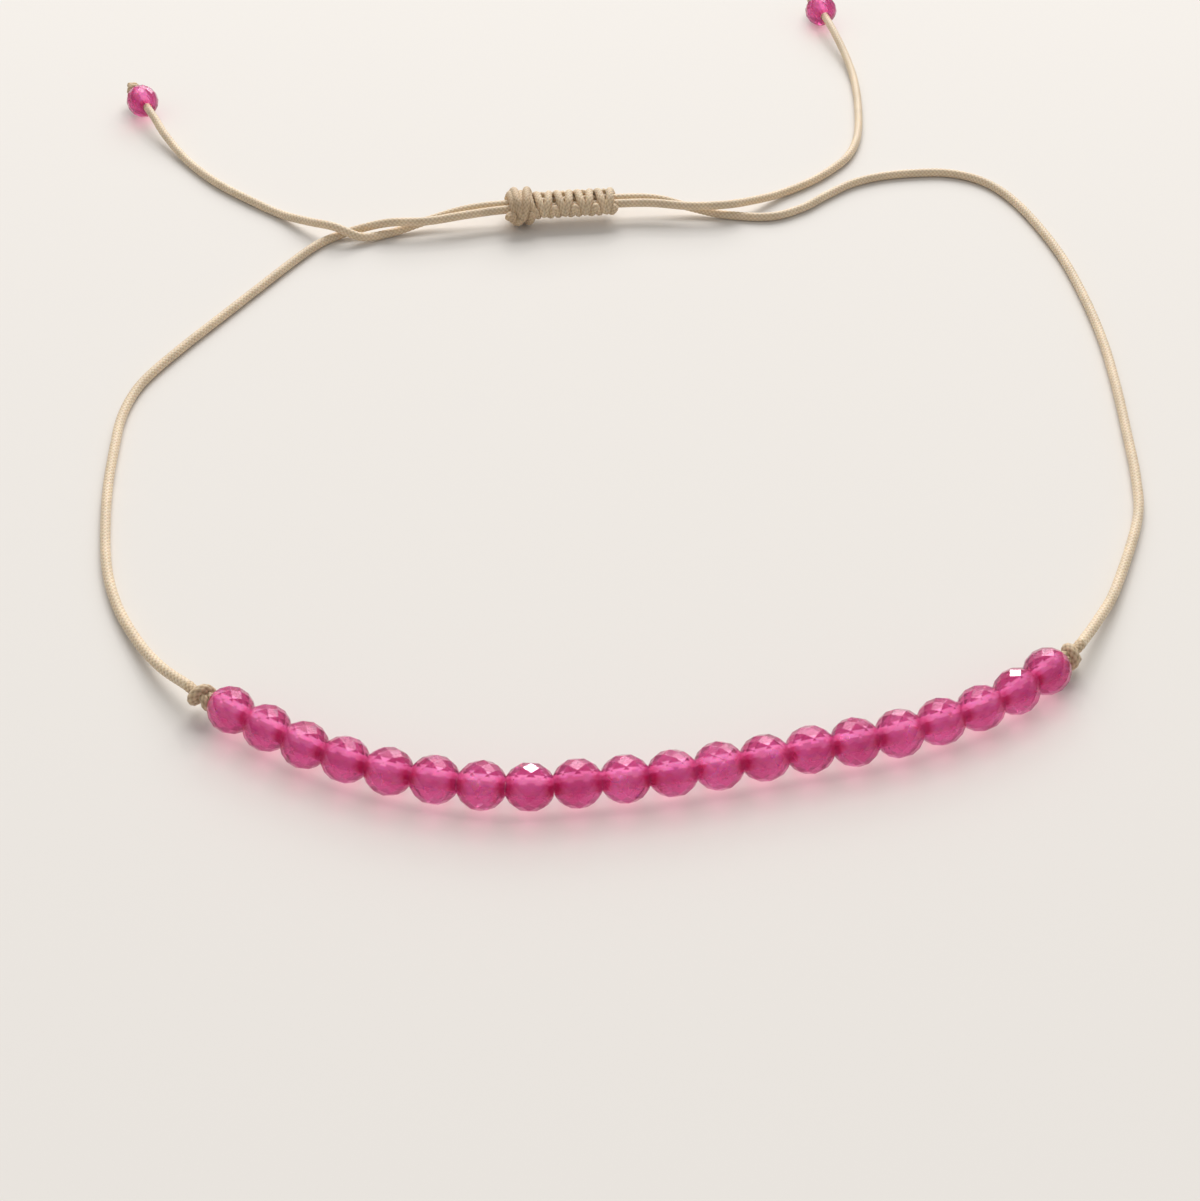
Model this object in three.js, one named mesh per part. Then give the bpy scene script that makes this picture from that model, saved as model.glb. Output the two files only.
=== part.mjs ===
// Gemstone bead bracelet, laid flat and seen from above its bead row.
// Twenty faceted round beads sit between two stopper knots on a round braided cord.
// The cord goes round both sides of the wrist, its two ends cross through one sliding
// knot at the back, and each tail ends in a single bead held by a small knot.
// Millimetres, +Z up, the surface it lies on at z = 0, the bead row towards -Y.
import * as THREE from "three";

// Beads
const BEAD_COUNT = 20;
const BEAD_RADIUS = 1.02; // to the corners of the facets
const BEAD_LENGTH = 1.83; // along the drill hole
const BEAD_PITCH = 1.955; // from bead to bead along the thread
const BEAD_SIDES = 10; // facets in each row round the drill hole
const BEAD_ROWS = 5; // rows of facet corners from the middle to the flat end
const BEAD_ROLL = 2.4; // turn from one bead to the next about the thread, in radians
const FLAT_BEAD = 11; // this bead of the row lies on one of its facets
const DRILL_RADIUS = 0.33;

// Cord and thread
const CORD_RADIUS = 0.25;
const CORD_SIDES = 8;
const CORD_STEPS = 80;
const THREAD_RADIUS = 0.2; // the cord is squeezed in the drill holes
const THREAD_STEPS = 30;
const JOINT_GAP = 0.1; // between a cord's end and the knot that it is tied into

// Stopper knots
const KNOT_LENGTH = 1.3;
const KNOT_RADIUS = 0.52;
const KNOT_LOBE = 0.07; // how far the knot's two turns stand out
const KNOT_SIDES = 12;
const KNOT_RINGS = 9;
const END_KNOT_LENGTH = 0.95;
const END_KNOT_RADIUS = 0.42;

// Sliding knot
const SLIDER_LENGTH = 6.45;
const SLIDER_HALF_WIDTH = 1.08;
const SLIDER_HALF_HEIGHT = 0.74;
const SLIDER_HEIGHT = 1.05; // of its middle line above the surface
const SLIDER_MIDDLE = new THREE.Vector3(-4.05, 22.8, SLIDER_HEIGHT);
const SLIDER_TURN = 0.109; // about Z, in radians
const SLIDER_SIDES = 16;
const RIDGE_PITCH = 0.62; // one half of a square knot
const RIDGE_DEPTH = 0.1;
const RIDGE_STEPS = 4;
const FINISH_LENGTH = 1.7; // the finishing knot over the slider's left end
const FINISH_WIDER = 0.38;
const FINISH_HIGHER = 0.3;
const FINISH_SHIFT = -0.12; // towards the bead row
const CHANNEL_HALF_GAP = 0.31; // from the slider's middle line to each cord's
const CHANNEL_RADIUS = 0.36;

// Colours
const STONE = new THREE.MeshStandardMaterial({ color: 0xc43a7c, roughness: 0.15, metalness: 0 });
const BRAID = new THREE.MeshStandardMaterial({ color: 0xdcc79c, roughness: 0.7, metalness: 0 });
const KNOTTED = new THREE.MeshStandardMaterial({ color: 0x9f8d6c, roughness: 0.75, metalness: 0 });

// The middle line of the bead row, from one stopper knot to the other
const ROW_ROUTE = [
  [-18.65, -17.78, 1.0],
  [-17.3, -18.75, 1.02],
  [-13.7, -20.95, 1.02],
  [-10.1, -22.4, 1.02],
  [-6.3, -23.15, 1.02],
  [-4.4, -23.2, 1.02],
  [-2.4, -22.98, 1.02],
  [1.5, -22.4, 1.02],
  [7.2, -21.05, 1.02],
  [10.8, -20.15, 1.02],
  [14.4, -18.65, 1.02],
  [16.1, -17.6, 1.02],
  [17.5, -16.45, 1.02],
  [18.8, -15.2, 1.0],
];
const FIRST_BEAD = 1.72; // along the row's line, from the stopper's middle to the bead's

// The two cords, from their stopper knots to the ends of their tails
const LEFT_ROUTE = [
  [-19.3, -17.22, 0.92],
  [-20.8, -15.7, 0.62],
  [-22.2, -13.75, 0.36],
  [-23.55, -11.3, 0.25],
  [-24.5, -8.7, 0.25],
  [-25.15, -5.6, 0.25],
  [-25.6, -2.5, 0.25],
  [-25.85, 0.6, 0.25],
  [-25.95, 3.0, 0.25],
  [-25.7, 5.1, 0.25],
  [-25.1, 6.9, 0.25],
  [-23.7, 9.6, 0.25],
  [-22.1, 12.4, 0.25],
  [-20.5, 15.2, 0.25],
  [-19.0, 17.8, 0.25],
  [-17.9, 19.5, 0.25],
  [-16.9, 20.5, 0.25],
  [-15.4, 21.1, 0.45],
  [-13.7, 20.95, 0.92],
  [-11.6, 21.1, 0.92],
  [-9.4, 21.65, 1.0],
  [-7.23, 22.13, 1.05],
  [-4.02, 22.49, 1.05],
  [-0.81, 22.84, 1.05],
  [1.3, 22.95, 1.03],
  [3.5, 22.75, 0.95],
  [5.6, 22.95, 0.92],
  [7.3, 24.0, 0.6],
  [8.9, 25.25, 0.3],
  [10.6, 26.55, 0.25],
  [12.1, 28.05, 0.25],
  [13.4, 29.9, 0.25],
  [14.2, 32.4, 0.25],
  [14.6, 36.0, 0.25],
  [14.7, 39.7, 0.28],
  [14.4, 42.8, 0.5],
  [13.8, 45.7, 0.9],
  [13.3, 48.0, 1.02],
  [13.0, 49.45, 1.02],
];
const RIGHT_ROUTE = [
  [19.33, -14.6, 0.92],
  [20.5, -12.7, 0.62],
  [21.85, -10.2, 0.36],
  [23.85, -5.2, 0.25],
  [24.45, -2.0, 0.25],
  [24.75, 1.8, 0.25],
  [25.0, 5.8, 0.25],
  [25.1, 9.8, 0.25],
  [24.9, 14.0, 0.25],
  [24.35, 18.5, 0.25],
  [23.3, 22.7, 0.25],
  [22.2, 25.4, 0.25],
  [20.9, 27.0, 0.25],
  [19.1, 27.8, 0.25],
  [16.9, 27.75, 0.25],
  [15.0, 27.35, 0.25],
  [13.3, 26.55, 0.25],
  [11.7, 25.2, 0.25],
  [10.1, 23.7, 0.25],
  [8.2, 22.75, 0.25],
  [5.6, 22.95, 0.25],
  [3.7, 23.4, 0.45],
  [1.5, 23.65, 0.92],
  [-0.88, 23.46, 1.05],
  [-4.09, 23.11, 1.05],
  [-7.3, 22.75, 1.05],
  [-9.5, 22.4, 0.92],
  [-11.7, 21.85, 0.5],
  [-13.7, 20.95, 0.25],
  [-15.3, 20.25, 0.4],
  [-16.9, 20.5, 0.92],
  [-18.6, 21.65, 0.6],
  [-20.3, 23.0, 0.27],
  [-22.4, 24.7, 0.25],
  [-24.6, 26.7, 0.25],
  [-26.7, 29.25, 0.27],
  [-28.4, 31.85, 0.55],
  [-29.4, 33.65, 0.9],
  [-30.2, 35.1, 1.02],
  [-30.9, 36.4, 1.02],
];
// How far each tail's bead sits before the end of its cord
const TAIL_BEAD_BACK = 1.12;

const alongX = new THREE.Vector3(1, 0, 0);

// A smooth curve through a route's points
function curveThrough(route) {
  const points = route.map(([x, y, z]) => new THREE.Vector3(x, y, z));
  return new THREE.CatmullRomCurve3(points, false, "catmullrom", 0.5);
}

// A stretch of a curve, between two distances from its start
class Stretch extends THREE.Curve {
  constructor(curve, from, to) {
    super();
    this.curve = curve;
    this.from = from / curve.getLength();
    this.to = to / curve.getLength();
  }
  getPoint(t, target = new THREE.Vector3()) {
    const u = THREE.MathUtils.lerp(this.from, this.to, t);
    return target.copy(this.curve.getPointAt(u));
  }
}

// A closed solid over rings of equally many points, which run round +X from +Y to +Z.
// As a loop the last ring joins the first, and otherwise a fan closes each end.
function solidOverRings(rings, loop) {
  const sides = rings[0].length;
  const points = rings.flat();
  const faces = [];
  const bands = loop ? rings.length : rings.length - 1;
  for (let k = 0; k < bands; k += 1) {
    const here = k * sides;
    const there = ((k + 1) % rings.length) * sides;
    for (let j = 0; j < sides; j += 1) {
      const next = (j + 1) % sides;
      const [a, b, c, d] = [here + j, here + next, there + j, there + next];
      const shorter = points[a].distanceTo(points[d]) < points[b].distanceTo(points[c]);
      faces.push(...(shorter ? [a, b, d, a, d, c] : [a, b, c, b, d, c]));
    }
  }
  if (!loop) {
    const last = (rings.length - 1) * sides;
    for (let j = 1; j < sides - 1; j += 1) {
      faces.push(0, j + 1, j);
      faces.push(last, last + j, last + j + 1);
    }
  }
  const geometry = new THREE.BufferGeometry().setFromPoints(points);
  geometry.setIndex(faces);
  geometry.computeVertexNormals();
  return geometry;
}

// A ring of points round +X, with half-axes across and up, turned by part of a step
function ring(x, across, up, sides, offset = 0) {
  return Array.from({ length: sides }, (_, j) => {
    const angle = (2 * Math.PI * (j + offset)) / sides;
    return new THREE.Vector3(x, across * Math.cos(angle), up * Math.sin(angle));
  });
}

// Rows of facet corners on a ball, from its middle to one end, as [distance along, radius].
// Every facet is a flat kite: a corner of one row, two of the next and one of the row after.
// So a row's radius at the middle of its side lies on the line between the rows beside it.
function kiteRows(sides, rows) {
  const flat = Math.cos(Math.PI / sides);
  const corners = [
    [0, 1],
    [Math.sin(Math.PI / sides), flat],
  ];
  while (corners.length <= rows) {
    const [x0, r0] = corners[corners.length - 2];
    const [x1, r1] = corners[corners.length - 1];
    const slope = (r1 * flat - r0) / (x1 - x0);
    const reach = (-2 * (x0 + r0 * slope)) / (1 + slope * slope);
    corners.push([x0 + reach, r0 + slope * reach]);
  }
  return corners;
}

// A faceted round bead about the origin, drilled along X
function beadGeometry() {
  const corners = kiteRows(BEAD_SIDES, BEAD_ROWS);
  const stretch = BEAD_LENGTH / 2 / corners[BEAD_ROWS][0];
  const rings = [];
  for (let row = -BEAD_ROWS; row <= BEAD_ROWS; row += 1) {
    const [x, r] = corners[Math.abs(row)];
    const place = Math.sign(row) * x * stretch;
    const radius = r * BEAD_RADIUS;
    rings.push(ring(place, radius, radius, BEAD_SIDES, Math.abs(row % 2) / 2));
  }
  const turned = (BEAD_ROWS % 2) / 2;
  rings.push(ring(BEAD_LENGTH / 2, DRILL_RADIUS, DRILL_RADIUS, BEAD_SIDES, turned));
  rings.push(ring(-BEAD_LENGTH / 2, DRILL_RADIUS, DRILL_RADIUS, BEAD_SIDES, turned));
  return solidOverRings(rings, true);
}

// A knot about the origin along X: a barrel with the two turns of an overhand knot round it
function knotGeometry(length, radius) {
  const rings = [];
  for (let k = 0; k < KNOT_RINGS; k += 1) {
    const s = (2 * k) / (KNOT_RINGS - 1) - 1;
    const barrel = radius * (0.5 + 0.5 * Math.sqrt(1 - s ** 4));
    const points = ring((s * length) / 2, barrel, barrel, KNOT_SIDES);
    points.forEach((point, j) => {
      const angle = (2 * Math.PI * j) / KNOT_SIDES;
      const lobe = 1 + (KNOT_LOBE / radius) * Math.cos(2 * angle - 2 * s) * (1 - s * s);
      point.y *= lobe;
      point.z *= lobe;
    });
    rings.push(points);
  }
  return solidOverRings(rings, false);
}

// The sliding knot about the origin along X: ridges of square knots, a thicker finishing
// knot over the left end, and one flat channel for the two cords that slide in it
function sliderGeometry() {
  const ridges = Math.round((SLIDER_LENGTH - FINISH_LENGTH) / RIDGE_PITCH);
  const pitch = (SLIDER_LENGTH - FINISH_LENGTH) / ridges;
  const rings = [];
  const outer = (x, grow, shift) => {
    const points = ring(x, SLIDER_HALF_WIDTH, SLIDER_HALF_HEIGHT, SLIDER_SIDES);
    points.forEach((point) => {
      point.y = point.y * grow[0] + shift;
      point.z *= grow[1];
    });
    rings.push(points);
  };
  const finishSteps = 6;
  for (let k = 0; k < finishSteps; k += 1) {
    const t = k / (finishSteps - 1);
    const bulge = Math.sin(Math.PI * (0.12 + 0.76 * t));
    const wide = 1 + (FINISH_WIDER / SLIDER_HALF_WIDTH) * bulge - 0.1 * (1 - bulge);
    const high = 1 + (FINISH_HIGHER / SLIDER_HALF_HEIGHT) * bulge - 0.1 * (1 - bulge);
    outer(-SLIDER_LENGTH / 2 + t * FINISH_LENGTH, [wide, high], FINISH_SHIFT * bulge);
  }
  for (let k = 1; k <= ridges * RIDGE_STEPS; k += 1) {
    const wave = 0.5 - 0.5 * Math.cos((2 * Math.PI * k) / RIDGE_STEPS);
    const grow = 1 - RIDGE_DEPTH * (1 - wave);
    outer(-SLIDER_LENGTH / 2 + FINISH_LENGTH + (k * pitch) / RIDGE_STEPS, [grow, grow], 0);
  }
  const channel = (x) => {
    const points = ring(x, CHANNEL_RADIUS, CHANNEL_RADIUS, SLIDER_SIDES);
    points.forEach((point) => {
      point.y += CHANNEL_HALF_GAP * Math.sign(Math.round(point.y * 1000));
    });
    rings.push(points);
  };
  channel(SLIDER_LENGTH / 2);
  channel(-SLIDER_LENGTH / 2);
  return solidOverRings(rings, true);
}

// A tube along a curve, with flat ends
function tubeGeometry(curve, radius, steps) {
  const section = new THREE.Shape(
    Array.from({ length: CORD_SIDES }, (_, j) => {
      const angle = (2 * Math.PI * (j + 0.5)) / CORD_SIDES;
      return new THREE.Vector2(radius * Math.cos(angle), radius * Math.sin(angle));
    }),
  );
  return new THREE.ExtrudeGeometry(section, { steps, extrudePath: curve, bevelEnabled: false });
}

// A mesh at a point of a curve, its own X along the curve, turned about the curve by roll
function meshOnCurve(name, geometry, material, curve, distance, roll = 0) {
  const u = distance / curve.getLength();
  const mesh = new THREE.Mesh(geometry, material);
  mesh.name = name;
  mesh.position.copy(curve.getPointAt(u));
  mesh.quaternion.setFromUnitVectors(alongX, curve.getTangentAt(u));
  mesh.rotateX(roll);
  return mesh;
}

function namedMesh(name, geometry, material) {
  const mesh = new THREE.Mesh(geometry, material);
  mesh.name = name;
  return mesh;
}

// The bead row: the thread, its beads and the stopper knot at each end
function beadRow() {
  const row = new THREE.Group();
  const line = curveThrough(ROW_ROUTE);
  const full = line.getLength();
  const inset = KNOT_LENGTH / 2 + JOINT_GAP;
  const threadLine = new Stretch(line, inset, full - inset);
  row.add(namedMesh("thread", tubeGeometry(threadLine, THREAD_RADIUS, THREAD_STEPS), BRAID));
  const bead = beadGeometry();
  for (let k = 0; k < BEAD_COUNT; k += 1) {
    const name = `bead_${String(k + 1).padStart(2, "0")}`;
    const roll = (k + 1 - FLAT_BEAD) * BEAD_ROLL;
    row.add(meshOnCurve(name, bead, STONE, line, FIRST_BEAD + k * BEAD_PITCH, roll));
  }
  const knot = knotGeometry(KNOT_LENGTH, KNOT_RADIUS);
  row.add(meshOnCurve("knot_left", knot, KNOTTED, line, 0));
  row.add(meshOnCurve("knot_right", knot, KNOTTED, line, full));
  return row;
}

// One cord with its tail's bead and end knot
function cordWithTail(cordName, beadName, knotName, route, roll) {
  const cord = new THREE.Group();
  const line = curveThrough(route);
  const full = line.getLength();
  const end = line.getTangentAt(1);
  cord.add(namedMesh(cordName, tubeGeometry(line, CORD_RADIUS, CORD_STEPS), BRAID));
  cord.add(meshOnCurve(beadName, beadGeometry(), STONE, line, full - TAIL_BEAD_BACK, roll));
  const knot = knotGeometry(END_KNOT_LENGTH, END_KNOT_RADIUS);
  const mesh = meshOnCurve(knotName, knot, KNOTTED, line, full);
  mesh.position.addScaledVector(end, END_KNOT_LENGTH / 2 + JOINT_GAP);
  cord.add(mesh);
  return cord;
}

function slidingKnot() {
  const mesh = namedMesh("slider", sliderGeometry(), KNOTTED);
  mesh.position.copy(SLIDER_MIDDLE);
  mesh.rotation.z = SLIDER_TURN;
  return mesh;
}

const bracelet = new THREE.Group();
bracelet.add(beadRow());
bracelet.add(cordWithTail("cord_left", "tail_bead_right", "end_knot_right", LEFT_ROUTE, 0.2));
bracelet.add(cordWithTail("cord_right", "tail_bead_left", "end_knot_left", RIGHT_ROUTE, 0.5));
bracelet.add(slidingKnot());

export default bracelet;
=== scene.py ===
# %% [markdown]
# # A gemstone bead bracelet
# Twenty small faceted stones sit between two knots on a round braided cord. The cord goes
# round the wrist on both sides, and its two ends cross through one sliding knot at the back.
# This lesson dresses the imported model: it loads the solids as a fixed frame, and then makes
# each visible surface as its own mesh, in metres, in the same place.

import bpy
import numpy as np
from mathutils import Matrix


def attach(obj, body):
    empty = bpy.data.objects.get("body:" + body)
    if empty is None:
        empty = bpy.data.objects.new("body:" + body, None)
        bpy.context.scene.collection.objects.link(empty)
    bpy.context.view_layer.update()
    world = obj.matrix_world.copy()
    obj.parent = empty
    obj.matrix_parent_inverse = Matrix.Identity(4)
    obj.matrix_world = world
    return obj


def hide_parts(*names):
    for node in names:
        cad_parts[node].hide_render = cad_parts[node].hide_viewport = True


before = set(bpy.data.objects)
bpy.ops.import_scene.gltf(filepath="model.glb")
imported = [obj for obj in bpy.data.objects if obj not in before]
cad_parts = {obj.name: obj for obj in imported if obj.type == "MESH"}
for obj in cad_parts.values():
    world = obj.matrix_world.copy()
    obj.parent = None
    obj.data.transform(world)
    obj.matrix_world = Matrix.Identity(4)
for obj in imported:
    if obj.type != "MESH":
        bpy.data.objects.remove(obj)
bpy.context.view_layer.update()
MM = 0.001

# %% [markdown]
# ## The camera
# The photograph was taken with a phone held close, in front of the bead row and above it,
# looking down at a bit more than forty degrees. A real camera can be recovered from a picture
# by matching known sizes: here the beads' pitch and the oval of the whole loop. We set its
# place and angle as plain numbers, with no shift and no depth of field.

# %% The camera
CAMERA_PLACE = (-1.7 * MM, -78.25 * MM, 59.8 * MM)
CAMERA_PITCH = 41.5  # degrees below the horizon
CAMERA_LENS = 59.35  # millimetres
SENSOR_WIDTH = 36.0  # millimetres
NEAR = 1 * MM  # nothing closer to the camera than this is drawn
FAR = 3.0  # and nothing past this, in metres


def make_camera():
    data = bpy.data.cameras.new("camera")
    data.lens = CAMERA_LENS
    data.sensor_width = SENSOR_WIDTH
    data.clip_start = NEAR
    data.clip_end = FAR
    camera = bpy.data.objects.new("camera", data)
    camera.location = CAMERA_PLACE
    camera.rotation_euler = (np.radians(90.0 - CAMERA_PITCH), 0.0, 0.0)
    bpy.context.scene.collection.objects.link(camera)
    bpy.context.scene.camera = camera
    return camera


camera = make_camera()
print("camera", camera.location[:], "lens", camera.data.lens)

# %% [markdown]
# ## Lines to follow
# A cord's shape is a line with a section carried along it. The line could be a Blender curve,
# but a braid needs to know how far along the cord each point is, so we work the line out with
# numpy: a smooth curve through a few route points, then stations at equal steps.

# %% Lines and the frames that ride on them
OFF_AXIS = (0.11, 0.07, 1.0)  # nearly straight up, and along none of the lines below


def smooth_line(route, per_span=24):
    """The uniform Catmull-Rom curve through the route's points. Between two of them it is the
    cubic whose slope at each end is half the way between that point's two neighbours, and each
    end of the line carries on straight. Returns points in metres, from a route in millimetres."""
    p = np.array(route, float) * MM
    p = np.vstack([2 * p[0] - p[1], p, 2 * p[-1] - p[-2]])
    a, b, c, d = (p[k : len(p) - 3 + k, None] for k in range(4))
    t = (np.arange(per_span) / per_span)[None, :, None]
    cubic = 2 * b + (c - a) * t + (2 * a - 5 * b + 4 * c - d) * t**2
    cubic = 0.5 * (cubic + (3 * b - a - 3 * c + d) * t**3)
    return np.vstack([cubic.reshape(-1, 3), p[-2]])


def distances(line):
    """How far along the line each of its points is: the running sum of its steps."""
    return np.concatenate([[0.0], np.cumsum(np.linalg.norm(np.diff(line, axis=0), axis=1))])


def at_distances(line, where):
    """The line's points at these distances from its start, each on the straight step it is in."""
    along = distances(line)
    return np.stack([np.interp(where, along, line[:, k]) for k in range(3)], axis=1)


def unit(v):
    return v / np.linalg.norm(v, axis=-1, keepdims=True)


def carried_frame(line):
    """The side and up of a line at each point, square to it, with no twist. Each side starts as
    square to one fixed direction. The side before it is tipped over by the smallest turn that
    takes one direction to the next, the angle between the two is measured, and the running
    sum of those angles is turned back."""
    ahead = unit(np.gradient(line, axis=0))
    side = unit(np.cross(ahead, OFF_AXIS))
    a, b, before, after = ahead[:-1], ahead[1:], side[:-1], side[1:]
    lean = (before * b).sum(1) / (1 + (a * b).sum(1))
    tipped = before - lean[:, None] * (a + b)
    turn = np.arctan2((np.cross(tipped, after) * b).sum(1), (tipped * after).sum(1))
    turn = -np.concatenate([[0.0], np.cumsum(turn)])[:, None]
    side = side * np.cos(turn) + np.cross(ahead, side) * np.sin(turn)
    return side, np.cross(ahead, side)


def end_direction(line, back=8):
    """The way that a line runs at its last point: from the point so many steps before it."""
    return line[-1] - line[-1 - back]


bend = smooth_line([(0, 0, 0), (1, 0, 0), (1, 1, 0)])
print("a bend through 3 route points:", len(bend), "points,", round(distances(bend)[-1] / MM, 2), "mm")

# %% [markdown]
# ## From numbers to a mesh
# Every new piece ends in the same few lines: its points and faces go into a mesh, each corner
# gets a place in the piece's own UV map, and each point may carry named numbers that its
# material reads, such as how high a strand stands. The piece then rides on the part's one
# body, stands for its solid, and names the finish that it takes.

# %% Make a piece


def make_piece(name, points, faces, materials, node, corner_uv=None, values=None, finish=None):
    """Puts arrays into a mesh and hands it over to the frame as one piece. Where finish is
    given, it is each face's place in the list of materials, and the faces stay flat."""
    mesh = bpy.data.meshes.new(name)
    mesh.from_pydata(points, [], faces)
    if corner_uv is not None:
        layer = mesh.uv_layers.new(name="along")
        layer.data.foreach_set("uv", np.asarray(corner_uv, np.float32).ravel())
    for label, numbers in (values or {}).items():
        attribute = mesh.attributes.new(label, "FLOAT", "POINT")
        attribute.data.foreach_set("value", np.asarray(numbers, np.float32))
    mesh.polygons.foreach_set("use_smooth", np.full(len(mesh.polygons), finish is None))
    for material in materials:
        mesh.materials.append(material)
    if finish is not None:
        mesh.polygons.foreach_set("material_index", finish)
    piece = bpy.data.objects.new(name, mesh)
    bpy.context.scene.collection.objects.link(piece)
    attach(piece, "root")
    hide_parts(node)
    return piece


print("nodes in the frame:", len(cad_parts))

# %% [markdown]
# ## The braided cord's finish
# The cord is a waxed polyester braid: pale golden strands with a dull waxy gloss on their crowns.
# Where the strands dive under each other they are painted darker, as painted shade in the grooves. A
# picture of a braid could be wrapped round it, but the strands are real relief here, so the material
# only needs to know how high each point stands. The knots are the same cord drawn tight, with a
# darker, browner copy of its finish as painted shade.

# %% Shader helpers


def new_material(name):
    material = bpy.data.materials.new(name)
    material.use_nodes = True
    tree = material.node_tree
    return material, tree, tree.nodes["Principled BSDF"]


def add(tree, kind, links=(), **settings):
    """A node with some of its sockets and properties set, and others fed by other nodes."""
    node = tree.nodes.new(kind)
    for key, value in settings.items():
        if key in node.inputs:
            node.inputs[key].default_value = value
        else:
            setattr(node, key, value)
    for key, source in dict(links).items():
        tree.links.new(source, node.inputs[key])
    return node


def ramp(tree, source, stops):
    """A colour ramp over one number, with its stops as (place, red, green, blue)."""
    node = add(tree, "ShaderNodeValToRGB", {"Fac": source})
    elements = node.color_ramp.elements
    while len(elements) < len(stops):
        elements.new(0.5)
    for element, (place, *colour) in zip(elements, stops):
        element.position = place
        element.color = (*colour, 1.0)
    return node.outputs["Color"]


print("shader helpers:", *(helper.__name__ for helper in (new_material, add, ramp)))

# %% The cord's material
PATCH_SCALE = 900.0  # of the soft patches: about this many in a metre
FIBRE_SCALE = 16000.0  # and of the single fibres
FIBRE_DEPTH = 0.02 * MM


def braid_material(name, groove, middle, crown, patches, gloss):
    """Colour from how high a strand stands, from groove to crown, the grooves darker as painted shade
    where strands dive under each other, with wide soft patches where the wax has picked up dirt, and
    fine fibres as bump."""
    material, tree, shader = new_material(name)
    height = add(tree, "ShaderNodeAttribute", attribute_name="height").outputs["Fac"]
    place = add(tree, "ShaderNodeTexCoord").outputs["Object"]
    # The groove end of the ramp is painted shade where one strand dives under another.
    strands = ramp(tree, height, [(0.0, *groove), (0.45, *middle), (0.95, *crown)])
    cloud = add(tree, "ShaderNodeTexNoise", {"Vector": place}, Scale=PATCH_SCALE, Detail=3.0)
    dull = add(
        tree,
        "ShaderNodeMapRange",
        {"Value": cloud.outputs["Fac"]},
        **{"From Min": 0.35, "From Max": 0.7, "To Min": 1.0, "To Max": patches},
    )
    worn = add(tree, "ShaderNodeVectorMath", {0: strands}, operation="SCALE")
    tree.links.new(dull.outputs["Result"], worn.inputs["Scale"])
    tree.links.new(worn.outputs["Vector"], shader.inputs["Base Color"])
    fibre = add(tree, "ShaderNodeTexNoise", {"Vector": place}, Scale=FIBRE_SCALE, Detail=2.0)
    bump = add(tree, "ShaderNodeBump", {"Height": fibre.outputs["Fac"]}, Strength=0.35)
    bump.inputs["Distance"].default_value = FIBRE_DEPTH
    tree.links.new(bump.outputs["Normal"], shader.inputs["Normal"])
    shader.inputs["Roughness"].default_value = gloss
    shader.inputs["Specular IOR Level"].default_value = 0.4
    shader.inputs["Subsurface Weight"].default_value = 0.3
    shader.inputs["Subsurface Radius"].default_value = (1.0, 0.7, 0.4)
    shader.inputs["Subsurface Scale"].default_value = 0.1 * MM
    shader.inputs["Sheen Weight"].default_value = 0.15
    return material


CORD_FINISH = braid_material(
    "waxed_braid", (0.25, 0.155, 0.08), (0.62, 0.455, 0.285), (0.86, 0.715, 0.52), 0.86, 0.5
)
# The knots take a darker, browner copy of the cord's finish: painted shade where the cord is drawn
# tight.
KNOT_FINISH = braid_material(
    "knot_cord_painted_shade", (0.11, 0.062, 0.029), (0.41, 0.275, 0.16), (0.76, 0.59, 0.39), 0.8, 0.6
)
SLIDER_FINISH = braid_material(
    "slider_cord", (0.22, 0.135, 0.075), (0.56, 0.405, 0.25), (0.84, 0.675, 0.47), 0.85, 0.6
)
ROW_FINISH = braid_material(
    "cord_in_pink_light", (0.2, 0.04, 0.08), (0.45, 0.13, 0.22), (0.62, 0.25, 0.37), 0.8, 0.6
)
print("cord finishes:", *(f.name for f in (CORD_FINISH, KNOT_FINISH, SLIDER_FINISH, ROW_FINISH)))

# %% [markdown]
# ## Braided tubes
# Twelve strands run round the cord, six each way, and each passes over one and under the
# next. They could be twelve swept strands, but one skin whose radius rises and falls with
# them is lighter and has no hidden faces. Its stations and sides are spaced so that both
# families of strands run along the grid's diagonals.

# %% The braid as a surface of two parameters
STRANDS = 6  # in each direction
SIDES = 36  # points round a cord
LAY = 1.5 * MM  # length of one full turn of a strand
RELIEF = 0.2  # share of the radius that a crown stands above a groove
NARROW = 1.9  # one over a strand's half width, in spacings between strands
SUNK = 0.45  # height that a strand's middle keeps where it dives under another
BLUNT = 0.9  # how far a capped end closes: 1 would be a full round


def braid_height(turn, along):
    """How high the braid stands, from 0 to 1. turn is the share of a turn round the cord, and
    along is the share of a lay along it. A strand of one family lies at whole numbers of
    STRANDS x (turn + along), one of the other at whole numbers of STRANDS x (turn - along).
    Its height falls off as a circle to its edges, and it rides a cosine that lifts it at one
    crossing and sinks it at the next, while the other family does the opposite."""
    first, second = STRANDS * (turn + along), STRANDS * (turn - along)
    i, j = np.round(first), np.round(second)
    round_first = np.sqrt(np.clip(1 - (NARROW * (first - i)) ** 2, 0, 1))
    round_second = np.sqrt(np.clip(1 - (NARROW * (second - j)) ** 2, 0, 1))
    over_first = 0.5 + 0.5 * np.cos(np.pi * (second + i))
    over_second = 0.5 - 0.5 * np.cos(np.pi * (first + j))
    one = round_first * (SUNK + (1 - SUNK) * over_first)
    other = round_second * (SUNK + (1 - SUNK) * over_second)
    return np.maximum(one, other)


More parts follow.
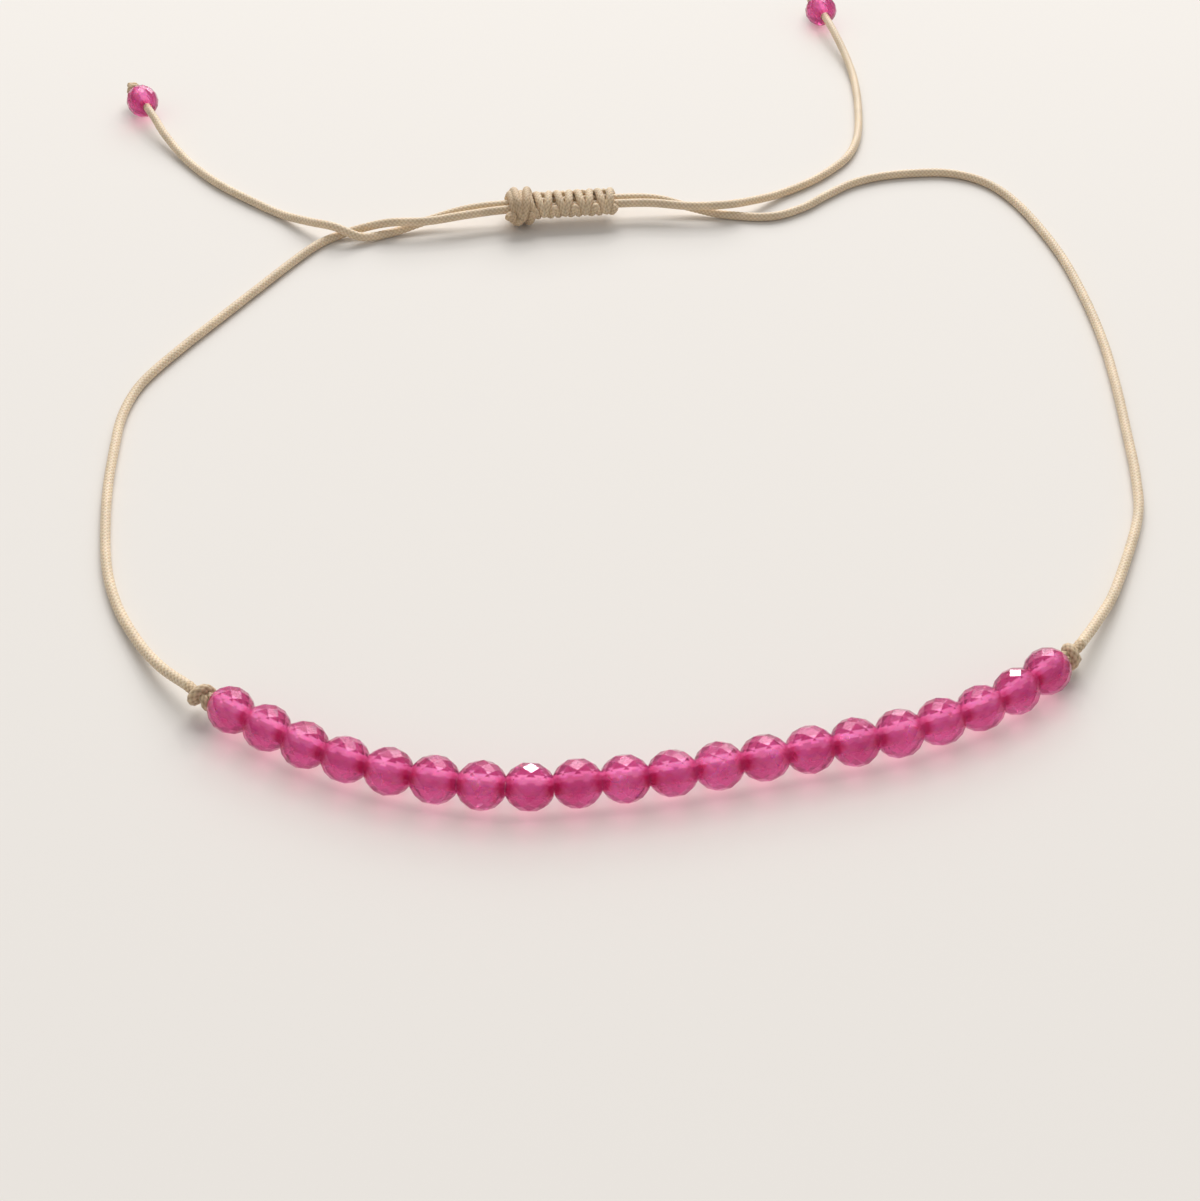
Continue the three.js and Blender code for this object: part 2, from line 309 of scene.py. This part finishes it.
def braided_tube(line, radius, cap=0.0, relief=RELIEF):
    """A tube along a line: point = line + r (cos(angle) side + sin(angle) up), where r is the
    radius, less the relief where the braid is low. The radius is one number, or one for each
    point of the line. Stations are at most one LAY / SIDES apart. cap rounds both ends over that
    length, and a point closes each. Returns the points, faces, corner UVs (share of a turn,
    lays along) and heights."""
    along = distances(line)
    count = int(np.ceil(along[-1] / (LAY / SIDES))) + 1
    where = np.linspace(0, along[-1], count)
    centres = at_distances(line, where)
    side, up = carried_frame(centres)
    turn = np.arange(SIDES) / SIDES
    height = braid_height(turn[None, :], where[:, None] / LAY)
    thick = np.interp(where, along, np.broadcast_to(radius, len(line)))[:, None]
    r = thick * (1 - relief * (1 - height))
    if cap:
        inward = np.clip(1 - np.minimum(where, along[-1] - where) / cap, 0, 1)
        r = r * np.sqrt(np.clip(1 - BLUNT * inward**2, 0, 1))[:, None]
    angle = 2 * np.pi * turn[None, :, None]
    ring = np.cos(angle) * side[:, None] + np.sin(angle) * up[:, None]
    skin = (centres[:, None] + r[:, :, None] * ring).reshape(-1, 3)
    points = np.vstack([skin, centres[0], centres[-1]])
    k, j = (x.ravel() for x in np.meshgrid(np.arange(count - 1), np.arange(SIDES), indexing="ij"))
    n = (j + 1) % SIDES
    quads = np.stack([k * SIDES + j, k * SIDES + n, (k + 1) * SIDES + n, (k + 1) * SIDES + j], 1)
    rim = np.arange(SIDES)
    after = (rim + 1) % SIDES
    first, last = np.full(SIDES, count * SIDES), np.full(SIDES, count * SIDES + 1)
    start = np.stack([first, after, rim], 1)
    finish = np.stack([last, (count - 1) * SIDES + rim, (count - 1) * SIDES + after], 1)
    faces = quads.tolist() + start.tolist() + finish.tolist()
    across = np.stack([j, j + 1, j + 1, j], 1) / SIDES
    down = np.stack([where[k], where[k], where[k + 1], where[k + 1]], 1) / LAY
    uv = np.stack([across, down], 2).reshape(-1, 2)
    ends = np.zeros((6 * SIDES, 2))  # three corners for each triangle that closes an end
    heights = np.concatenate([height.ravel(), [0.5, 0.5]])
    return points, faces, np.vstack([uv, ends]), heights


print("one lay:", SIDES, "rings of", SIDES, "points, a ring each", round(LAY / SIDES / MM, 3), "mm")

# %% [markdown]
# ## The two cords
# Each side's cord leaves its stopper knot beside the bead row, drops to the surface, goes
# round the wrist, crosses the other, runs through the sliding knot and ends in a tail. It
# could be draped by simulation, but the photograph shows the whole route, so its points are
# listed, the same ones that the solids follow.

# %% The cords' routes, in millimetres
ROUTES = {
    "left": [
        (-19.3, -17.22, 0.92),
        (-20.8, -15.7, 0.62),
        (-22.2, -13.75, 0.36),
        (-23.55, -11.3, 0.25),
        (-24.5, -8.7, 0.25),
        (-25.15, -5.6, 0.25),
        (-25.6, -2.5, 0.25),
        (-25.85, 0.6, 0.25),
        (-25.95, 3.0, 0.25),
        (-25.7, 5.1, 0.25),
        (-25.1, 6.9, 0.25),
        (-23.7, 9.6, 0.25),
        (-22.1, 12.4, 0.25),
        (-20.5, 15.2, 0.25),
        (-19.0, 17.8, 0.25),
        (-17.9, 19.5, 0.25),
        (-16.9, 20.5, 0.25),
        (-15.4, 21.1, 0.45),
        (-13.7, 20.95, 0.92),
        (-11.6, 21.1, 0.92),
        (-9.4, 21.65, 1.0),
        (-7.23, 22.13, 1.05),
        (-4.02, 22.49, 1.05),
        (-0.81, 22.84, 1.05),
        (1.3, 22.95, 1.03),
        (3.5, 22.75, 0.95),
        (5.6, 22.95, 0.92),
        (7.3, 24.0, 0.6),
        (8.9, 25.25, 0.3),
        (10.6, 26.55, 0.25),
        (12.1, 28.05, 0.25),
        (13.4, 29.9, 0.25),
        (14.2, 32.4, 0.25),
        (14.6, 36.0, 0.25),
        (14.7, 39.7, 0.28),
        (14.4, 42.8, 0.5),
        (13.8, 45.7, 0.9),
        (13.3, 48.0, 1.02),
        (13.0, 49.45, 1.02),
    ],
    "right": [
        (19.33, -14.6, 0.92),
        (20.5, -12.7, 0.62),
        (21.85, -10.2, 0.36),
        (23.85, -5.2, 0.25),
        (24.45, -2.0, 0.25),
        (24.75, 1.8, 0.25),
        (25.0, 5.8, 0.25),
        (25.1, 9.8, 0.25),
        (24.9, 14.0, 0.25),
        (24.35, 18.5, 0.25),
        (23.3, 22.7, 0.25),
        (22.2, 25.4, 0.25),
        (20.9, 27.0, 0.25),
        (19.1, 27.8, 0.25),
        (16.9, 27.75, 0.25),
        (15.0, 27.35, 0.25),
        (13.3, 26.55, 0.25),
        (11.7, 25.2, 0.25),
        (10.1, 23.7, 0.25),
        (8.2, 22.75, 0.25),
        (5.6, 22.95, 0.25),
        (3.7, 23.4, 0.45),
        (1.5, 23.65, 0.92),
        (-0.88, 23.46, 1.05),
        (-4.09, 23.11, 1.05),
        (-7.3, 22.75, 1.05),
        (-9.5, 22.4, 0.92),
        (-11.7, 21.85, 0.5),
        (-13.7, 20.95, 0.25),
        (-15.3, 20.25, 0.4),
        (-16.9, 20.5, 0.92),
        (-18.6, 21.65, 0.6),
        (-20.3, 23.0, 0.27),
        (-22.4, 24.7, 0.25),
        (-24.6, 26.7, 0.25),
        (-26.7, 29.25, 0.27),
        (-28.4, 31.85, 0.55),
        (-29.4, 33.65, 0.9),
        (-30.2, 35.1, 1.02),
        (-30.9, 36.4, 1.02),
    ],
}
OTHER = {"left": "right", "right": "left"}  # a cord's tail ends on the other side
CORD_RADIUS = 0.25 * MM

cord_lines = {side: smooth_line(route) for side, route in ROUTES.items()}
for side, line in cord_lines.items():
    points, faces, uv, heights = braided_tube(line, CORD_RADIUS)
    name, node, values = f"braided_cord_{side}", f"cord_{side}", {"height": heights}
    make_piece(name, points, faces, [CORD_FINISH], node, uv, values)
    print(side, "cord:", round(distances(line)[-1] / MM, 1), "mm,", len(faces), "faces")

# %% [markdown]
# ## The stones
# Each bead is a two-millimetre stone cut as ten columns of flat kites round its drill hole.
# A rounded ball with sharp shading would look like glass beads, and a subdivided sphere would
# have facets of the wrong form, so the rows of corners are worked out as a cutter sets them:
# every kite is truly flat. A narrow bevel stands for the polish on the real edges.

# %% The cut of a stone
CUT_SIDES = 10
CUT_ROWS = 5
STONE_RADIUS = 1.02 * MM
STONE_LENGTH = 1.96 * MM
HOLE_RADIUS = 0.3 * MM
HOLE_RINGS = (1.0, 0.7, 0.35, -0.35, -0.7, -1.0)  # where its rings are, in half lengths
POLISH = 0.012 * MM  # width of the rounded edges
SHARP = 6  # degrees between two facets, past which their edge is rounded


def kite_rows(sides, rows):
    """Rows of facet corners on a ball of radius one, from its middle to one end, as (distance
    along the hole, radius). A kite has a corner of one row, two of the next and one of the row
    after, so in the middle of a row's side the radius lies on the line between its neighbours.
    That line meets the ball again at the next row."""
    flat = np.cos(np.pi / sides)
    corners = [(0.0, 1.0), (np.sin(np.pi / sides), flat)]
    while len(corners) <= rows:
        (x0, r0), (x1, r1) = corners[-2:]
        slope = (r1 * flat - r0) / (x1 - x0)
        reach = -2 * (x0 + r0 * slope) / (1 + slope**2)
        corners.append((x0 + reach, r0 + slope * reach))
    return np.array(corners)


def corner(row, place):
    """The number of a corner, from its row and its place round the stone."""
    return row * CUT_SIDES + place % CUT_SIDES


def grid(rows):
    """Every pair of one of these rows and a place round the stone, as two flat arrays."""
    row, place = np.meshgrid(rows, np.arange(CUT_SIDES), indexing="ij")
    return row.ravel(), place.ravel()


def cut_stone():
    """A drilled stone along X about the origin: its points, its flat faces, which of those
    belong to the hole's wall, and how deep in the hole each point is, from 0 at a mouth to 1 in
    the middle. Rows of points run from one end to the other, each row turned half a step from
    the next, and the last rows go back through the hole."""
    half = kite_rows(CUT_SIDES, CUT_ROWS)
    half[:, 0] *= STONE_LENGTH / 2 / half[-1, 0]
    half[:, 1] *= STONE_RADIUS
    rows = np.vstack([half[:0:-1] * (-1, 1), half])
    odd = (np.arange(len(rows)) - CUT_ROWS) % 2
    hole = np.array([[x * STONE_LENGTH / 2, HOLE_RADIUS] for x in HOLE_RINGS])
    depth = np.concatenate([np.zeros(len(rows)), 1 - np.abs(HOLE_RINGS)])
    rows = np.vstack([rows, hole])
    odd = np.concatenate([odd, [CUT_ROWS % 2] * len(hole)])
    angle = 2 * np.pi * (np.arange(CUT_SIDES)[None] + odd[:, None] / 2) / CUT_SIDES
    x = np.broadcast_to(rows[:, :1], angle.shape)
    points = np.stack([x, rows[:, 1:] * np.cos(angle), rows[:, 1:] * np.sin(angle)], 2)
    last = 2 * CUT_ROWS
    row, j = grid(np.arange(last - 1))
    beside = j + np.where(odd[row] == 1, 0, -1)
    kites = [corner(row, j), corner(row + 1, beside + 1), corner(row + 2, j), corner(row + 1, beside)]
    j = np.arange(CUT_SIDES)
    turned = CUT_ROWS % 2
    first = [corner(0, j), corner(0, j + 1), corner(1, j + turned)]
    end = [corner(last, j), corner(last - 1, j + turned), corner(last, j + 1)]
    outside = [np.stack(group, 1).tolist() for group in (kites, first, end)]
    row, j = grid(np.arange(last, len(rows)))
    after = (row + 1) % len(rows)
    drilled = [corner(row, j), corner(row, j + 1), corner(after, j + 1), corner(after, j)]
    drilled = np.stack(drilled, 1).tolist()
    faces = sum(outside, []) + drilled
    in_hole = (row > last) & (row < len(rows) - 1)
    in_hole = np.concatenate([np.zeros(len(faces) - len(drilled)), in_hole]).astype(np.int32)
    return points.reshape(-1, 3), faces, in_hole, np.repeat(depth, CUT_SIDES)


stone_points, stone_faces, stone_finish, stone_depth = cut_stone()
print("one stone:", len(stone_points), "points,", len(stone_faces), "flat faces")

# %% [markdown]
# ## The stone's finish
# The stone is a clear ruby pink with a milky haze: light goes into it, spreads, and comes out
# as a soft glow. A glass shader alone would be too clear and a solid colour too dead, so the
# shader is part glass and part milk. The drill hole's wall is frosted and pale in the middle,
# where it is seen as a band through the stone, and darker near its mouths, which is painted
# shade at the necks between stones. Those colours come from how deep a place is. The light
# that a stone lets through to the floor is worked out by a plain filter, which is quicker and
# steadier than following it through every facet.

# %% The stone's material
CLOUD_SCALE = 600.0  # of the milky clouds: about this many in a metre


def stone_material(name, clear, rough, stops, by_depth=False):
    """Part clear, part milky Principled shader. Its colour goes through the stops by soft
    clouds, or by how deep in the drill hole the place is. For the light that looks for a lamp
    the stone is a pale filter."""
    material, tree, shader = new_material(name)
    if by_depth:
        number = add(tree, "ShaderNodeAttribute", attribute_name="depth").outputs["Fac"]
    else:
        place = add(tree, "ShaderNodeTexCoord").outputs["Object"]
        cloud = add(tree, "ShaderNodeTexNoise", {"Vector": place}, Scale=CLOUD_SCALE, Detail=3.0)
        number = cloud.outputs["Fac"]
    tree.links.new(ramp(tree, number, stops), shader.inputs["Base Color"])
    shader.inputs["Roughness"].default_value = rough
    shader.inputs["IOR"].default_value = 1.54
    shader.inputs["Specular Tint"].default_value = (0.8, 0.4, 0.6, 1.0)
    shader.inputs["Transmission Weight"].default_value = clear
    shader.inputs["Subsurface Weight"].default_value = 1.0
    shader.inputs["Subsurface Radius"].default_value = (1.0, 0.25, 0.45)
    shader.inputs["Subsurface Scale"].default_value = 1.5 * MM
    shader.inputs["Coat Weight"].default_value = 0.25
    shader.inputs["Coat Roughness"].default_value = 0.08
    path = add(tree, "ShaderNodeLightPath")
    filtered = add(tree, "ShaderNodeBsdfTransparent", Color=(0.88, 0.84, 0.82, 1.0))
    mix = add(tree, "ShaderNodeMixShader", {0: path.outputs["Is Shadow Ray"]})
    tree.links.new(shader.outputs["BSDF"], mix.inputs[1])
    tree.links.new(filtered.outputs["BSDF"], mix.inputs[2])
    output = tree.nodes["Material Output"]
    tree.links.new(mix.outputs["Shader"], output.inputs["Surface"])
    return material


CLOUDS = [(0.35, 0.57, 0.042, 0.2), (0.65, 0.78, 0.12, 0.38)]
# The hole's wall by depth: darker near its mouths, as painted shade at the necks between stones, and
# pale frosting in the middle.
HOLE_FROSTING_AND_SHADE = [(0.0, 0.52, 0.27, 0.37), (0.3, 0.55, 0.16, 0.3), (0.65, 1.0, 0.9, 0.95)]
STONE_FINISH = stone_material("ruby_pink_stone", 0.85, 0.2, CLOUDS)
HOLE_FINISH = stone_material("frosted_hole_shaded_mouths", 0.1, 0.6, HOLE_FROSTING_AND_SHADE, by_depth=True)
print("stone finishes:", STONE_FINISH.name, HOLE_FINISH.name)

# %% [markdown]
# ## Threading the stones
# Every stone sits where its solid does, but no two are alike: each is turned by its own amount
# about the cord, tips a little in its loose hole, and is cut a little larger or smaller. Two
# of the real stones flash white. Chance turns wouldn't do that, so one facet of each of these
# two is set to send the light of a small lamp to the camera.

# %% How a stone is threaded
FLASHING = (8, 19)  # places in the row of the two stones that flash
GAP_IN_CURTAIN = (0.022, 0.38, 0.225)  # where the small bright lamp is, in metres
TIP = 0.012  # how far a stone tips in its loose hole, as a slope
TAIL_ROLL = 0.3  # how the tail stones are turned, in radians


def node_points(node):
    """The corners of a CAD solid, as an array."""
    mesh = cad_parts[node].data
    flat = np.empty(len(mesh.vertices) * 3)
    mesh.vertices.foreach_get("co", flat)
    return flat.reshape(-1, 3)


def turned_to(direction, roll):
    """The three axes of a stone: its hole along direction, turned about it by roll."""
    x = unit(direction)
    y = unit(np.cross((0.0, 0.0, 1.0), x))
    z = np.cross(x, y)
    return np.stack([x, y * np.cos(roll) + z * np.sin(roll), z * np.cos(roll) - y * np.sin(roll)])


def flash_pose(centre, direction):
    """The hole's direction and the roll that make one facet flash. The facet's normal has to be
    halfway between the way to the camera and the way to the small lamp, so the hole is set
    square to that, and the stone is turned by half a facet less than its angle."""
    to_camera = unit(np.array(CAMERA_PLACE) - centre)
    to_lamp = unit(np.array(GAP_IN_CURTAIN) - centre)
    halfway = unit(to_camera + to_lamp)
    direction = direction - (direction @ halfway) * halfway
    _, y, z = turned_to(direction, 0.0)
    return direction, np.arctan2(halfway @ z, halfway @ y) - np.pi / CUT_SIDES


def thread_stone(name, node, centre, direction, roll, size):
    """One stone with its hole along direction: the cut's points times its size, a matrix that
    makes it a little oval and skew, times the three axes, plus the centre."""
    points = stone_points @ size @ turned_to(direction, roll) + centre
    finishes = [STONE_FINISH, HOLE_FINISH]
    values = {"depth": stone_depth}
    piece = make_piece(name, points, stone_faces, finishes, node, None, values, stone_finish)
    bevel = piece.modifiers.new("polished edges", "BEVEL")
    bevel.width = POLISH
    bevel.segments = 2
    bevel.limit_method = "ANGLE"
    bevel.angle_limit = np.radians(SHARP)
    return piece


def hand_cut(random):
    """A matrix near one: across the hole the stone is up to 3% larger or 4% smaller each way, and
    its rows of facets lean by up to 3%. Flat facets stay flat under it."""
    size = np.diag([1.0, *random.uniform(0.96, 1.03, 2)])
    size[1:, 0] = random.uniform(-0.03, 0.03, 2)
    size[1, 2] = random.uniform(-0.03, 0.03)
    return size


row_nodes = [f"bead_{k:02d}" for k in range(1, 21)]
centres = np.array([node_points(node).mean(0) for node in row_nodes])
print("pitch, mm:", np.round(np.linalg.norm(np.diff(centres, axis=0), axis=1) / MM, 3))

# %% Place the stones
random = np.random.default_rng(7)
directions = np.gradient(centres, axis=0)
for k, node in enumerate(row_nodes):
    direction = unit(directions[k]) + random.normal(0, TIP, 3)
    roll = random.uniform(0, 2 * np.pi / CUT_SIDES)
    size = hand_cut(random)
    if k + 1 in FLASHING:
        direction, roll = flash_pose(centres[k], unit(directions[k]))
        size = np.eye(3)
    thread_stone(f"stone_{k + 1:02d}", node, centres[k], direction, roll, size)

for side, line in cord_lines.items():
    node = f"tail_bead_{OTHER[side]}"
    name, centre = f"tail_stone_{OTHER[side]}", node_points(node).mean(0)
    size = hand_cut(random)
    thread_stone(name, node, centre, end_direction(line), TAIL_ROLL, size)

# %% [markdown]
# ## The cord inside the row
# The same cord runs through the drill holes, squeezed a little. The frosted holes hide it
# inside the stones, so it is seen only where two of them tip apart. The light in those gaps
# has come through the stones. Their filter is pale, so the pink is put into this cord's
# finish. It ends inside the last stone's hole on each side, where the knot's strand begins.

# %% The cord in the drill holes
ROW_ROUTE = [
    (-18.65, -17.78, 1.0),
    (-17.3, -18.75, 1.02),
    (-13.7, -20.95, 1.02),
    (-10.1, -22.4, 1.02),
    (-6.3, -23.15, 1.02),
    (-4.4, -23.2, 1.02),
    (-2.4, -22.98, 1.02),
    (1.5, -22.4, 1.02),
    (7.2, -21.05, 1.02),
    (10.8, -20.15, 1.02),
    (14.4, -18.65, 1.02),
    (16.1, -17.6, 1.02),
    (17.5, -16.45, 1.02),
    (18.8, -15.2, 1.0),
]
INTO_HOLE = 0.8 * MM  # from the last stone's middle to the cord's end, inside its hole
ROW_CORD_RADIUS = 0.2 * MM
ROW_STATIONS = 400  # points on the line that it follows
row_line = smooth_line(ROW_ROUTE)
inside = distances(row_line)
ends = [inside[np.argmin(np.linalg.norm(row_line - centres[k], axis=1))] for k in (0, -1)]
reach = np.linspace(ends[0] - INTO_HOLE, ends[1] + INTO_HOLE, ROW_STATIONS)
points, faces, uv, heights = braided_tube(at_distances(row_line, reach), ROW_CORD_RADIUS)
make_piece("row_cord", points, faces, [ROW_FINISH], "thread", uv, {"height": heights})
print("row cord:", round((reach[-1] - reach[0]) / MM, 1), "mm")

# %% [markdown]
# ## The stopper knots
# An overhand knot on each side holds the row. Drawn tight, it is a core of two passes of the
# cord with a turn or two wrapped round them. It could be a rope simulation, but a strand whose
# distance from the knot's axis, angle and place along it are set at a few stations gives the
# same look, and keeps close to the solid.

# %% An overhand knot as a line round an axis
KNOT_STATIONS = [
    # along (mm), from the axis (mm), turns, strand's radius (mm)
    (-1.0, 0.02, 0.0, 0.2),
    (-0.65, 0.08, 0.0, 0.21),
    (-0.3, 0.16, 0.02, 0.2),
    (0.05, 0.22, 0.1, 0.22),
    (0.32, 0.29, 0.28, 0.25),
    (0.3, 0.33, 0.48, 0.27),
    (0.13, 0.32, 0.7, 0.27),
    (-0.06, 0.32, 0.93, 0.26),
    (-0.25, 0.32, 1.16, 0.27),
    (-0.42, 0.3, 1.38, 0.26),
    (-0.45, 0.22, 1.6, 0.23),
    (-0.2, 0.17, 1.76, 0.2),
    (0.15, 0.16, 1.8, 0.22),
    (0.5, 0.1, 1.8, 0.25),
]
KNOT_RELIEF = 0.26  # drawn tight, the strands stand out more
STRAND_END = 0.262  # mm, a little thicker than the cord that it runs into
KNOT_STEPS = 16  # points of the line from one station to the next
KNOT_CAP = 0.12 * MM  # length over which a knot's strand is rounded off


def tie_knot(name, node, direction, roll, size, onward, sag=0.0):
    """An overhand knot in place of a CAD node. The strand's place along the axis, its distance
    from it, its turns round it and its radius are smoothed through the stations as a line is:
    y = distance cos(turns), z = distance sin(turns). Then the axis is laid along direction, the
    middle sinks by sag, and the strand goes on through the points of onward."""
    stations = np.array(KNOT_STATIONS)
    along, far, turns = smooth_line(stations[:, :3], KNOT_STEPS).T / MM
    radius = smooth_line(stations[:, [0, 0, 3]], KNOT_STEPS)[:, 2] * size
    angle = 2 * np.pi * turns
    line = np.stack([along, far * np.cos(angle), far * np.sin(angle)], 1) * MM * size
    line = line @ turned_to(np.asarray(direction), roll) + node_points(node).mean(0)
    line[:, 2] -= sag * (1 - np.clip(along, -1, 1) ** 2)
    line = np.vstack([line, onward])
    radius = np.concatenate([radius, np.full(len(onward), STRAND_END * MM * size)])
    points, faces, uv, heights = braided_tube(line, radius, KNOT_CAP, KNOT_RELIEF)
    values = {"height": heights}
    return make_piece(name, points, faces, [KNOT_FINISH], node, uv, values)


print("a knot's strand goes through", len(KNOT_STATIONS), "stations")

# %% Tie the four small knots
ROLL = {"left": 2.37, "right": 2.6}  # how each stopper knot is turned about the cord
SAG = {"left": 0.12 * MM, "right": 0.25 * MM}  # how far each hangs below the drill holes
row_ends = {"left": end_direction(row_line[::-1]), "right": end_direction(row_line)}
for side, out in row_ends.items():
    name, node = f"overhand_knot_{side}", f"knot_{side}"
    tie_knot(name, node, out, ROLL[side], 1.0, cord_lines[side][:2], SAG[side])
END_KNOT_SIZE = 0.8  # of a stopper knot's
END_KNOT_ROLL = 0.5
TAIL_END = np.array([[0.62], [0.85]]) * MM  # how far the cut end stands out of a tail's knot
for side, line in cord_lines.items():
    name, node = f"tail_knot_{OTHER[side]}", f"end_knot_{OTHER[side]}"
    out = unit(end_direction(line))
    end = node_points(node).mean(0) + TAIL_END * out
    tie_knot(name, node, out, END_KNOT_ROLL, END_KNOT_SIZE, end)

# %% [markdown]
# ## The sliding knot
# A second piece of cord is tied round both cords as a row of square knots. One of its strands
# always crosses above them and the other always below, and at the edges each hooks round the
# other, so the edge shows a bump for every half knot. At the left end the strands are tied off
# once more and their cut ends are melted.

# %% Square knots as two strands round two cords
SLIDER_MIDDLE = np.array([-4.05, 22.8, 1.05]) * MM
SLIDER_TURN = 0.109  # about Z, in radians
SLIDER_LENGTH = 6.45 * MM
FINISH_LENGTH = 1.7 * MM  # the tied-off left end
HALF_KNOTS = 8
FINISH_HALF_KNOTS = 3
BAR_WIDE = 0.8 * MM  # from the middle to a strand's line at the edge
BAR_HIGH = 0.46 * MM  # and to its line above the cords
HOOK = 0.17 * MM  # how far it dips past the middle height at an edge
STRAND_RADIUS = 0.235 * MM
HOOK_WIDTH = 0.25  # how long it stays low there: towards 0 is a point, 1 is a plain wave
CROWDING = 0.75  # how much of a strand's advance along the cords is made at the edges
SWING_STEPS = 24  # points of the line from edge to edge
STUB_STEPS = 12  # points of a cut end's line
MELTED = (0.9, 1.2)  # radius at its start and at its head, in strands' radii
SLIDER_CAP = 0.15 * MM  # length over which a strand's end is rounded off
# The tied-off end is drawn darker and browner: its strands' heights are lowered before the finish
# reads them.
DARKENED = 0.75  # share of its height that the tied-off end's finish goes by


def square_knot_strand(above, start, length, half_knots, wide, high):
    """One strand of the row of knots about the X axis. It swings from edge to edge as a cosine,
    one swing a half knot, and bulges above (or below) the two cords in between. Most of its
    way along the cords is made at the edges, where it dips past the middle height, round the
    other strand."""
    swing = np.linspace(0, np.pi * half_knots, SWING_STEPS * half_knots + 1)
    x = start + (swing + CROWDING / 2 * np.sin(2 * swing)) / np.pi * length / half_knots
    over = np.sin(swing) ** 2 / (HOOK_WIDTH + (1 - HOOK_WIDTH) * np.sin(swing) ** 2)
    z = high * over - HOOK * (1 - over)
    return np.stack([x, above * wide * np.cos(swing), above * z], 1)


def slider_tube(line, radius):
    return braided_tube(line, radius, SLIDER_CAP, KNOT_RELIEF)


def stub(start, finish):
    """A strand's cut end, melted to a blunt head: a straight line whose radius swells."""
    line = np.linspace(start, finish, STUB_STEPS) * MM
    return slider_tube(line, STRAND_RADIUS * np.linspace(*MELTED, STUB_STEPS))


def joined(parts):
    """Several (points, faces, UVs, heights) as one: each one's faces count on from the points
    before it."""
    starts = np.cumsum([0] + [len(p[0]) for p in parts])
    points = np.vstack([p[0] for p in parts])
    faces = [[i + s for i in face] for p, s in zip(parts, starts) for face in p[1]]
    return points, faces, np.vstack([p[2] for p in parts]), np.concatenate([p[3] for p in parts])


def darkened(part):
    """The same strand with its heights lowered, which the finish shows as a browner cord."""
    points, faces, uv, heights = part
    return points, faces, uv, DARKENED * heights


print("the sliding knot:", HALF_KNOTS, "half knots and", FINISH_HALF_KNOTS, "at the tied-off end")

# %% Tie the sliding knot
left_end = -SLIDER_LENGTH / 2
KNOT_ROWS = [
    # start, length, half knots, wide, high
    (left_end + FINISH_LENGTH, SLIDER_LENGTH - FINISH_LENGTH, HALF_KNOTS, BAR_WIDE, BAR_HIGH),
    (left_end + 0.25 * MM, FINISH_LENGTH - 0.25 * MM, FINISH_HALF_KNOTS, 0.95 * MM, 0.56 * MM),
    (left_end + 0.4 * MM, FINISH_LENGTH - 0.45 * MM, FINISH_HALF_KNOTS - 1, 1.12 * MM, 0.74 * MM),
]
CUT_ENDS = [
    # start, finish (mm)
    ((-2.9, -0.9, 0.1), (-3.05, -1.3, -0.1)),
    ((-2.6, -0.9, -0.2), (-2.3, -1.35, -0.35)),
]
strands = [
    slider_tube(square_knot_strand(above, *sizes), STRAND_RADIUS)
    for sizes in KNOT_ROWS
    for above in (1, -1)
]
# The tied-off end and its melted cut ends are drawn darker by lowered heights.
tied_off = strands[2:] + [stub(*ends) for ends in CUT_ENDS]
points, faces, uv, heights = joined(strands[:2] + [darkened(part) for part in tied_off])
across = np.array([-np.sin(SLIDER_TURN), np.cos(SLIDER_TURN), 0.0])
along = np.array([np.cos(SLIDER_TURN), np.sin(SLIDER_TURN), 0.0])
points = points @ np.stack([along, across, (0.0, 0.0, 1.0)]) + SLIDER_MIDDLE
values = {"height": heights}
finishes = [SLIDER_FINISH]
make_piece("square_knot_slider", points, faces, finishes, "slider", uv, values)
print("slider:", len(faces), "faces")

# %% [markdown]

# %% [markdown]
# ## Floor and light
# The bracelet lies on a plain pale surface. The main light is a broad window behind it and
# above, and the whole room is bright and pale, so shadows are short, soft and fall towards
# the camera. A second lamp, as small as a gap in a curtain, is there for the two flashes.
# Neither lamp is met by light that goes through a stone, since the stones' filter already
# lets it reach the floor and it would be counted twice.

# %% The floor and the lamps
FLOOR = 3.0  # metres from its middle to a side
WINDOW = (0.04, 0.8, 0.585)  # where the window is, in metres


def make_floor():
    corners = [(-FLOOR, -FLOOR, 0), (FLOOR, -FLOOR, 0), (FLOOR, FLOOR, 0), (-FLOOR, FLOOR, 0)]
    mesh = bpy.data.meshes.new("pale_floor")
    mesh.from_pydata(corners, [], [(0, 1, 2, 3)])
    floor = bpy.data.objects.new("pale_floor", mesh)
    bpy.context.scene.collection.objects.link(floor)
    material, _, shader = new_material("pale_floor")
    shader.inputs["Base Color"].default_value = (0.82, 0.795, 0.765, 1.0)
    shader.inputs["Roughness"].default_value = 0.9
    shader.inputs["Specular IOR Level"].default_value = 0.1
    mesh.materials.append(material)


def area_light(name, place, target, size, power, colour):
    """A square lamp at place, facing target. Its size is in metres and its power in watts."""
    data = bpy.data.lights.new(name, "AREA")
    data.shape = "SQUARE"
    data.size = size
    data.energy = power
    data.color = colour
    lamp = bpy.data.objects.new(name, data)
    towards = np.array(target) - np.array(place)
    pitch = np.arctan2(np.hypot(*towards[:2]), -towards[2])
    lamp.location = place
    lamp.rotation_euler = (pitch, 0.0, np.arctan2(towards[1], towards[0]) - np.pi / 2)
    lamp.visible_transmission = False
    bpy.context.scene.collection.objects.link(lamp)


make_floor()
aim = (0, 0, 0)  # both lamps face the middle of the bracelet
area_light("window", WINDOW, aim, size=0.8, power=11.2, colour=(1.0, 0.985, 0.965))
area_light("gap_in_curtain", GAP_IN_CURTAIN, aim, size=0.022, power=0.13, colour=(1.0, 0.97, 0.95))
world = bpy.data.worlds.new("pale_room")
world.use_nodes = True
room = world.node_tree.nodes["Background"]
room.inputs["Color"].default_value = (1.0, 0.98, 0.955, 1.0)
room.inputs["Strength"].default_value = 0.45
bpy.context.scene.world = world
bpy.context.scene.view_settings.view_transform = "Standard"
